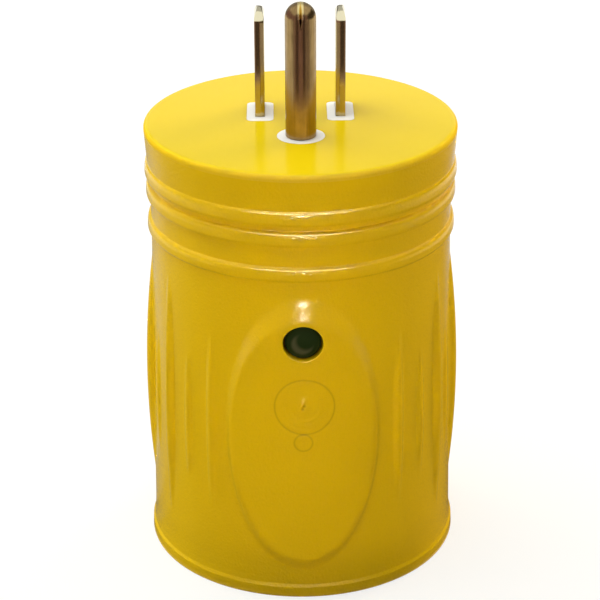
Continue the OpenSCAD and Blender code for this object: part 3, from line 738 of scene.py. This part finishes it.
# %% A skin of loops and bands
class Skin:
    """Collects places and faces for one mesh, in millimetres."""

    def __init__(self):
        self.places = []
        self.faces = []

    def loop(self, places):
        """Adds a ring of points; the result is their numbers."""
        first = len(self.places)
        self.places += [tuple(place) for place in places]
        return list(range(first, len(self.places)))

    def band(self, low, high):
        """Adds quads between two loops of the same length."""
        for k in range(len(low)):
            following = (k + 1) % len(low)
            self.faces.append((low[k], low[following], high[following], high[k]))

    def grown(self, low, places):
        """Adds a loop and the band that joins it to the one before."""
        high = self.loop(places)
        self.band(low, high)
        return high

    def build(self, name, sharp_degrees=38, fills=()):
        """A finished object; fills are groups of loops that bound flat faces."""
        mesh = bpy.data.meshes.new(name)
        mesh.from_pydata([Vector(place) * MM for place in self.places], [], self.faces)
        shape = bmesh.new()
        shape.from_mesh(mesh)
        shape.verts.ensure_lookup_table()
        for loops in fills:
            edges = []
            for indices in loops:
                for a, b in zip(indices, indices[1:] + indices[:1]):
                    pair = (shape.verts[a], shape.verts[b])
                    edges.append(shape.edges.get(pair) or shape.edges.new(pair))
            bmesh.ops.triangle_fill(shape, use_beauty=True, edges=edges)
        bmesh.ops.recalc_face_normals(shape, faces=shape.faces)
        loose = sum(not edge.is_manifold for edge in shape.edges)
        shape.to_mesh(mesh)
        shape.free()
        mesh.shade_smooth()
        mesh.set_sharp_from_angle(angle=math.radians(sharp_degrees))
        thing = bpy.data.objects.new(name, mesh)
        bpy.context.scene.collection.objects.link(thing)
        print(name, "has", len(mesh.polygons), "faces and", loose, "open edges")
        return thing


skin = Skin()
skin_rows = [skin.loop(row) for row in outer]
print("points on the outside:", len(skin.places))

# %% [markdown]
# The lamp looks out of an oval hole. A Boolean would cut it, but leave a raw edge. Here a rectangle of the
# grid is left out, and its edge is kept as a loop to start the hole from.

# %% Wall of the grip, with a place for the hole
PATCH_HALF, PATCH_R = 4.4, 24.9
col_in = [j for j, az in enumerate(columns) if abs(az) * PATCH_R < PATCH_HALF]
row_in = [i for i, (r, z) in enumerate(outer_rows) if abs(z - LAMP_Z) < PATCH_HALF]


def wall_faces(rows, patch_from, outward):
    """Quads between rows all the way round, apart from the rectangle where the hole will be."""
    patch_rows = range(patch_from, patch_from + len(row_in) - 1)
    for i, (low, high) in enumerate(zip(rows, rows[1:])):
        for j in range(len(columns)):
            if i in patch_rows and j in col_in[:-1]:
                continue
            following = (j + 1) % len(columns)
            start, end = (j, following) if outward else (following, j)
            skin.faces.append((low[start], low[end], high[end], high[start]))


def patch_edge(rows):
    """Indices round the left-out rectangle: along its foot, up, back along its head and down."""
    foot, head = rows[0], rows[-1]
    return (
        [foot[j] for j in col_in]
        + [row[col_in[-1]] for row in rows[1:-1]]
        + [head[j] for j in reversed(col_in)]
        + [row[col_in[0]] for row in reversed(rows[1:-1])]
    )


wall_faces(skin_rows, row_in[0], outward=True)
edge = patch_edge([skin_rows[i] for i in row_in])
print("the hole starts from a loop of", len(edge), "points")

# %% [markdown]
# Loops of the same number of points shrink from the rectangle to an oval, round the small lip over and run
# down the bore to the hollow inside. Because every loop has as many points as the rectangle's edge, the hole
# is all quads, and its lip catches the light as a moulded one does.

# %% Lip and bore of the lamp's hole
LIP, PANEL_R = 0.09, 25.15
edge_x = np.array([skin.places[k][0] for k in edge])
edge_z = np.array([skin.places[k][2] for k in edge])
around = np.arctan2((edge_z - LAMP_Z) / LAMP_HALF_H, edge_x / LAMP_HALF_W)


def hole_line(grow):
    """The hole's oval outline in x and z, grown by a margin."""
    return (LAMP_HALF_W + grow) * np.cos(around), LAMP_Z + (LAMP_HALF_H + grow) * np.sin(around)


def on_panel(x, z):
    """Places on the relief of the front."""
    az = np.arcsin(x / PANEL_R)
    return on_wall(az, wall_r(z) + relief(az, z), z)


hole_loop = edge
lip_x, lip_z = hole_line(LIP)
for step in (0.35, 0.62, 0.8, 0.92, 1.0):
    lip_places = on_panel(edge_x + (lip_x - edge_x) * step, edge_z + (lip_z - edge_z) * step)
    hole_loop = skin.grown(hole_loop, lip_places)
for angle in np.radians((22.5, 45, 67.5, 90)):
    lip_x, lip_z = hole_line(LIP * (1 - np.sin(angle)))
    lip_y = lip_places[:, 1] + LIP * (1 - np.cos(angle))
    hole_loop = skin.grown(hole_loop, np.stack((lip_x, lip_y, lip_z), -1))
bore_x, bore_z = hole_line(0)
bore_foot_y = -np.sqrt(CAVITY_R**2 - bore_x**2)
for step in (0.5, 1.0):
    bore_y = lip_y + (bore_foot_y - lip_y) * step
    hole_loop = skin.grown(hole_loop, np.stack((bore_x, bore_y, bore_z), -1))
print("the bore is", round(float(np.max(bore_foot_y - lip_y)), 2), "mm deep")

# %% [markdown]
# The grip is a shell, so it gets an inner wall, which has the same columns and the same rectangle left out.
# A Solidify modifier would copy all the relief to the inside. The real inside is plain, and it is cheaper to
# say so with a few rows.

# %% Hollow inside of the grip
CEILING_R = 18.8
inner_z = [RIM_H, 12, 22, 32] + [outer_rows[i][1] for i in row_in] + [52, 60, CEILING_Z]
inner_path = [(RIM_R, RIM_H)] + [(CAVITY_R, z) for z in inner_z] + [(CEILING_R, CEILING_Z)]
inner_rows = [skin_rows[0]] + [skin.loop(on_wall(columns, r, z)) for r, z in inner_path]
first_in = 2 + inner_z.index(outer_rows[row_in[0]][1])
wall_faces(inner_rows, first_in, outward=False)
skin.band(hole_loop, patch_edge(inner_rows[first_in:first_in + len(row_in)]))
print("rows inside:", len(inner_rows))

# %% [markdown]
# Three windows in the top let the white bosses of the prongs through. Their edges are barely broken, as on
# the real moulding, where the two plastics meet almost flush. So each window is a stack of outlines that
# differ by hundredths of a millimetre.


# %% Windows in the top
def round_rect(x, y, width, length, corner, grow):
    """Outline of a rounded rectangle round (x, y), grown by a margin."""
    outline = []
    for sx, sy, turn in ((1, 1, 0), (-1, 1, 90), (-1, -1, 180), (1, -1, 270)):
        for step in range(7):
            angle = math.radians(turn + 15 * step)
            reach = corner + grow
            outline.append((
                x + sx * (width / 2 - corner) + reach * math.cos(angle),
                y + sy * (length / 2 - corner) + reach * math.sin(angle),
            ))
    return outline


def circle_line(x, y, radius, count=56):
    """Outline of a circle round (x, y)."""
    return [
        (x + radius * math.cos(2 * math.pi * k / count), y + radius * math.sin(2 * math.pi * k / count))
        for k in range(count)
    ]


BLADE_X, BLADE_Y, PIN_Y = 6.35, 4.3, -7.6
BOSS_Y, BOSS_W, BOSS_L, BOSS_CORNER, BOSS_R = 3.6, 4.22, 8.82, 0.9, 3.71


def window_lines(grow):
    """Outlines of the three openings in the top."""
    return [
        round_rect(-BLADE_X, BOSS_Y, BOSS_W, BOSS_L, BOSS_CORNER, grow),
        round_rect(BLADE_X, BOSS_Y, BOSS_W, BOSS_L, BOSS_CORNER, grow),
        circle_line(0, PIN_Y, BOSS_R + grow),
    ]


window_steps = [  # margin round the opening, and height
    (0.4, BODY_H), (0.03, BODY_H), (0.01, BODY_H - 0.01), (0, BODY_H - 0.03), (0, CEILING_Z),
]
top_loops, ceiling_loops = [skin_rows[-1]], [inner_rows[-1]]
for outlines in zip(*(window_lines(grow) for grow, _ in window_steps)):
    loops = [
        skin.loop([(x, y, z) for x, y in outline]) for outline, (_, z) in zip(outlines, window_steps)
    ]
    for high, low in zip(loops, loops[1:]):
        skin.band(low, high)
    top_loops.append(loops[0])
    ceiling_loops.append(loops[-1])
print("windows in the top:", len(top_loops) - 1)

# %% [markdown]
# Now the mesh is built, and it takes the place of the plain solid in the picture. Each lamp can be linked to
# a collection of objects, and the two sparkle lamps are linked to one that holds the grip alone.

# %% The finished grip
grip = skin.build("grip_moulding", fills=[top_loops, ceiling_loops])
grip.data.materials.append(finishes["body_yellow"])
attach(grip, "adapter")
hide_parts("grip_body")
sparkling = bpy.data.collections.new("sparkling")
sparkling.objects.link(grip)
for lamp in sparkles:
    lamp.light_linking.receiver_collection = sparkling

# %% [markdown]
# ## Prongs
#
# Blades and pin are made the same way: outlines are stacked from the tail to the tip and joined, which is
# called a loft. The rivet holes in their tails are hidden and plain, so there a Boolean is good enough.


# %% Loft and cut
def loft(name, loops, sharp_degrees=38):
    """A closed mesh through loops of the same number of points, with a cap at each end."""
    skin = Skin()
    made = [skin.loop(places) for places in loops]
    for low, high in zip(made, made[1:]):
        skin.band(low, high)
    skin.faces += [tuple(reversed(made[0])), tuple(made[-1])]
    return skin.build(name, sharp_degrees)


def cut(thing, cutter, operation="DIFFERENCE"):
    """Applies a Boolean with another object, which is then removed."""
    step = thing.modifiers.new("cut", "BOOLEAN")
    step.operation = operation
    step.solver = "EXACT"
    step.object = cutter
    bpy.context.view_layer.update()
    result = bpy.data.meshes.new_from_object(thing.evaluated_get(bpy.context.evaluated_depsgraph_get()))
    thing.modifiers.clear()
    thing.data = result
    bpy.data.objects.remove(cutter)


print("loft and cut are ready")

# %% [markdown]
# The flat blades are stamped from brass strip. Shearing rolls one side of their narrow edges over, and the
# tip is rounded and coined thinner so that it finds its slot. A bevelled box would have four equal edges, so
# the outline of the strip is drawn with one sharp and one rolled side.

# %% Sections of a flat blade
TAIL_Z, SHOULDER_Z, RIVET_Z, RIVET_HOLE_R = 49.0, 59.45, 54.0, 1.25
BLADE_TOP, BLADE_T, BLADE_W, TAIL_W = BODY_H + 17.0, 1.5, 6.35, 7.5
TIP_DROP, TIP_T, ROLL, ROLL_FROM = 1.42, 0.5, 0.32, 0.16


def strip_outline(x, y, thick, wide, inner):
    """Outline of sheared strip round (x, y): two flat sides, and edges rolled over on the inner side."""
    across = np.array((-1, -0.97, -0.9, -0.6, -0.2, 0.08, 0.16, 0.24, 0.5, 0.75, 0.85, 0.93, 0.98, 1))
    rolled = ROLL * np.clip((across - ROLL_FROM) / (1 - ROLL_FROM), 0, 1)
    broken = np.where(across < 0, 0.03, 0.1) * np.abs(across) ** 24
    reach = wide / 2 - np.minimum(rolled + broken, 0.3 * wide)
    front = np.stack((x + inner * thick / 2 * across, y - reach), -1)
    back = np.stack((x + inner * thick / 2 * across, y + reach), -1)[::-1]
    return np.concatenate((front, back))[::inner]


blade_sections = [  # height, thickness, width
    (TAIL_Z, BLADE_T - 0.2, TAIL_W - 0.2),
    (TAIL_Z + 0.12, BLADE_T, TAIL_W),
    (SHOULDER_Z - 0.1, BLADE_T, TAIL_W),
    (SHOULDER_Z, BLADE_T - 0.1, TAIL_W - 0.1),
]
tip_path = rounded_path([
    (BLADE_W / 2, SHOULDER_Z + 0.01, 0),
    (BLADE_W / 2, BLADE_TOP - TIP_DROP, 0.95),
    (0.26 * BLADE_W, BLADE_TOP - 0.26, 1.5),
    (0.15, BLADE_TOP, 0),
])
for half, z in tip_path:
    coined = np.clip((z - BLADE_TOP + TIP_DROP) / TIP_DROP, 0, 1)
    blade_sections.append((z, BLADE_T + (TIP_T - BLADE_T) * coined**2.2, 2 * half))
print("sections of a blade:", len(blade_sections))

# %% [markdown]
# The two blades are mirror images, with the rolled edges facing each other, so one loop makes both.

# %% Flat blades
for name, side in (("hot_blade", -1), ("neutral_blade", 1)):
    loops = [
        [(x, y, z) for x, y in strip_outline(side * BLADE_X, BLADE_Y, thick, wide, -side)]
        for z, thick, wide in blade_sections
    ]
    blade = loft(name + "_stamped", loops)
    hole = loft("hole", [
        [(side * BLADE_X + x, BLADE_Y + a, RIVET_Z + b) for a, b in circle_line(0, 0, RIVET_HOLE_R, 32)]
        for x in (-2, 2)
    ])
    cut(blade, hole)
    blade.data.materials.clear()
    blade.data.materials.append(finishes["prong_plated"])
    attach(blade, "adapter")
    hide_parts(name)

# %% [markdown]
# The ground pin is drawn from strip and closed at its tip, where the two rolled edges meet in a narrow V.
# A lathe profile gives the pin, and the V is pressed into it point by point, on the side where it shows. A
# Boolean wedge would be quicker, but its edges would be sharp where the real ones roll in.

# %% Profile of the ground pin
PIN_R, PIN_TOP, NECK_R = 2.375, BODY_H + 21.2, 2.1
COLLAR_R, COLLAR_LOW, COLLAR_HIGH = 2.5, 58.5, 59.4
DOME_Z = PIN_TOP - PIN_R
V_FOOT, V_DEPTH, SEAM_DEPTH, SEAM_HALF_W = DOME_Z - 0.9, 0.6, 0.02, 0.12
pin_path = [(COLLAR_R - 0.1, COLLAR_LOW), (COLLAR_R, COLLAR_LOW + 0.1), (COLLAR_R, COLLAR_HIGH)]
pin_path += [(NECK_R, SHOULDER_Z), (NECK_R, BODY_H - 0.1), (PIN_R - 0.14, BODY_H), (PIN_R, BODY_H + 0.14)]
pin_path += [(PIN_R, z) for z in np.linspace(BODY_H + 1, DOME_Z, 50)]
pin_path += [(PIN_R * math.cos(a), DOME_Z + PIN_R * math.sin(a)) for a in np.radians(np.linspace(3, 89, 34))]
pin_degrees = (np.arange(-180, -30, 6), np.arange(-30, 30, 1.5), np.arange(30, 180, 6))
around_pin = np.radians(np.concatenate(pin_degrees))


def pressed(r, z, az):
    """Radius of the pin with the V of its closed edges and the faint seam below it."""
    off_seam = r * az
    up_v = np.clip((z - V_FOOT) / (PIN_TOP - V_FOOT), 0, 1)
    half_width = 0.2 + 0.3 * up_v
    depth = V_DEPTH * np.clip(up_v * 6, 0, 1)
    groove = depth * np.clip(1 - np.abs(off_seam) / half_width, 0, 1) ** 1.8
    on_shaft = (z > BODY_H + 0.5) * (z < V_FOOT + 0.3)
    seam = SEAM_DEPTH * np.exp(-((off_seam / SEAM_HALF_W) ** 2)) * on_shaft
    return np.maximum(r - groove - seam, 0.02)


print("the pin has", len(pin_path), "rows of", len(around_pin), "points")

# %% [markdown]
# Below the cap, the pin ends in a flat tang with a hole for its rivet. The tang is joined on and the hole cut
# out by Booleans, because nothing of either shows from outside.

# %% Ground pin
TANG_W, TANG_T, TANG_TOP = 5.0, 1.0, 59.0
pin_loops = []
for r, z in pin_path:
    radius = pressed(r, z, around_pin)
    pin_x, pin_y = radius * np.sin(around_pin), PIN_Y - radius * np.cos(around_pin)
    pin_loops.append(np.stack((pin_x, pin_y, 0 * radius + z), -1))
pin = loft("ground_pin_drawn", pin_loops)
tang = loft("tang", [
    [(x, y, z) for x, y in round_rect(0, PIN_Y, TANG_W - inset, TANG_T - inset, 0.1, 0)]
    for z, inset in ((TAIL_Z, 0.15), (TAIL_Z + 0.1, 0), (TANG_TOP, 0))
])
cut(pin, tang, "UNION")
hole = loft("hole", [
    [(x, PIN_Y + y, RIVET_Z + z) for x, z in circle_line(0, 0, RIVET_HOLE_R, 32)] for y in (-1, 1)
])
cut(pin, hole)
pin.data.materials.clear()
pin.data.materials.append(finishes["prong_plated_pin"])
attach(pin, "adapter")
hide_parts("ground_pin")

# %% [markdown]
# ## Lamp
#
# The lamp is a plug of dark green epoxy, and unlit it is nearly black. A pale crescent low on its face is a
# painted reflection. Clear glass that reflected it would need many more samples to render, so the crescent
# is a tone: one round spot with another taken away.

# %% Epoxy of the lamp
LENS_FACE_Y = -24.4


def near(place, x, z, inner, outer):
    """1 close to a point of the lamp's face, and 0 far from it; distances in millimetres."""
    return ramp(distance_to(place, x, LENS_FACE_Y, LAMP_Z + z), inner * MM, outer * MM, 1.0, 0.0)


shader, place = new_finish("lens_green")
deep = mix_colours(noise(place, 2), rgb(0.011, 0.024, 0.006), rgb(0.018, 0.032, 0.009))
# The crescent is a painted reflection, mixed into the colour as a paler tone.
painted_crescent = near(place, -0.1, -0.15, 1.5, 1.9) * (1 - near(place, 0.45, 0.55, 1.3, 1.9))
mix_colours(painted_crescent, deep, rgb(0.07, 0.072, 0.042)).feed(shader, "Base Color")
(noise(place, 0.6) * 0.1 + 0.3).feed(shader, "Roughness")
shader.inputs["Specular IOR Level"].default_value = 0.1
print("finishes made:", sorted(finishes))

# %% [markdown]
# The plug has a flat dome in front and a rim at its foot, which keeps it from falling out of its hole. It is
# lathed with enough points for a clean highlight. A scaled sphere would give the dome, but not the rim.

# %% Lamp lens
LENS_R, LENS_RIM_R, LENS_RIM_T, LENS_BREAK = 2.75, 3.1, 1.0, 0.08
LENS_FOOT_Y, LENS_TIP_Y, LENS_DOME_H = -16.2, -24.95, 1.0
LENS_SHOULDER_Y = LENS_FOOT_Y - LENS_RIM_T
lens_path = [
    (LENS_RIM_R - LENS_BREAK, LENS_FOOT_Y), (LENS_RIM_R, LENS_FOOT_Y - LENS_BREAK),
    (LENS_RIM_R, LENS_SHOULDER_Y + LENS_BREAK), (LENS_RIM_R - LENS_BREAK, LENS_SHOULDER_Y),
    (LENS_R, LENS_SHOULDER_Y),
]
lens_path += [
    (LENS_R * math.cos(a), LENS_TIP_Y + LENS_DOME_H * (1 - math.sin(a)))
    for a in np.radians(np.linspace(0, 88, 30))
]
lens_dome = loft("lamp_lens_cast", [
    [(x, y, LAMP_Z + z) for x, z in circle_line(0, 0, r, 64)] for r, y in lens_path
])
lens_dome.data.materials.append(finishes["lens_green"])
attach(lens_dome, "adapter")
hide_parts("lamp_lens")

# %% [markdown]
# ## Pieces that keep their solids
#
# The white carrier, the socket in the base and the small parts inside already have their true shapes in the
# frame. They could be modelled again, but nothing would be gained. They keep their meshes and get a finish.

# %% Finishes for the solids
finish_of = {
    "core_white": ["plug_carrier", "receptacle_face", "receptacle_core"],
    "contact_brass": [
        "hot_contact_base", "neutral_contact_base", "hot_leaf_back", "hot_leaf_front", "neutral_leaf_back",
        "neutral_leaf_front", "ground_socket", "hot_link", "neutral_link", "ground_link", "blade_rivets",
        "contact_rivets",
    ],
    "spring_steel": ["socket_spring_ring"],
    "holder_black": ["lamp_holder"],
    "board_green": ["lamp_board"],
    "resistor_tan": ["dropper_resistor"],
    "diode_black": ["rectifier_diode"],
    "lead_tin": ["lamp_leads", "component_leads"],
    "wire_black": ["hot_lamp_wire"],
    "wire_white": ["neutral_lamp_wire"],
    "solder": ["solder_joints"],
}
for finish, names in finish_of.items():
    for name in names:
        solid = nodes[name]
        solid.data.materials.clear()
        solid.data.materials.append(finishes[finish])
print("solids dressed:", sum(len(names) for names in finish_of.values()))
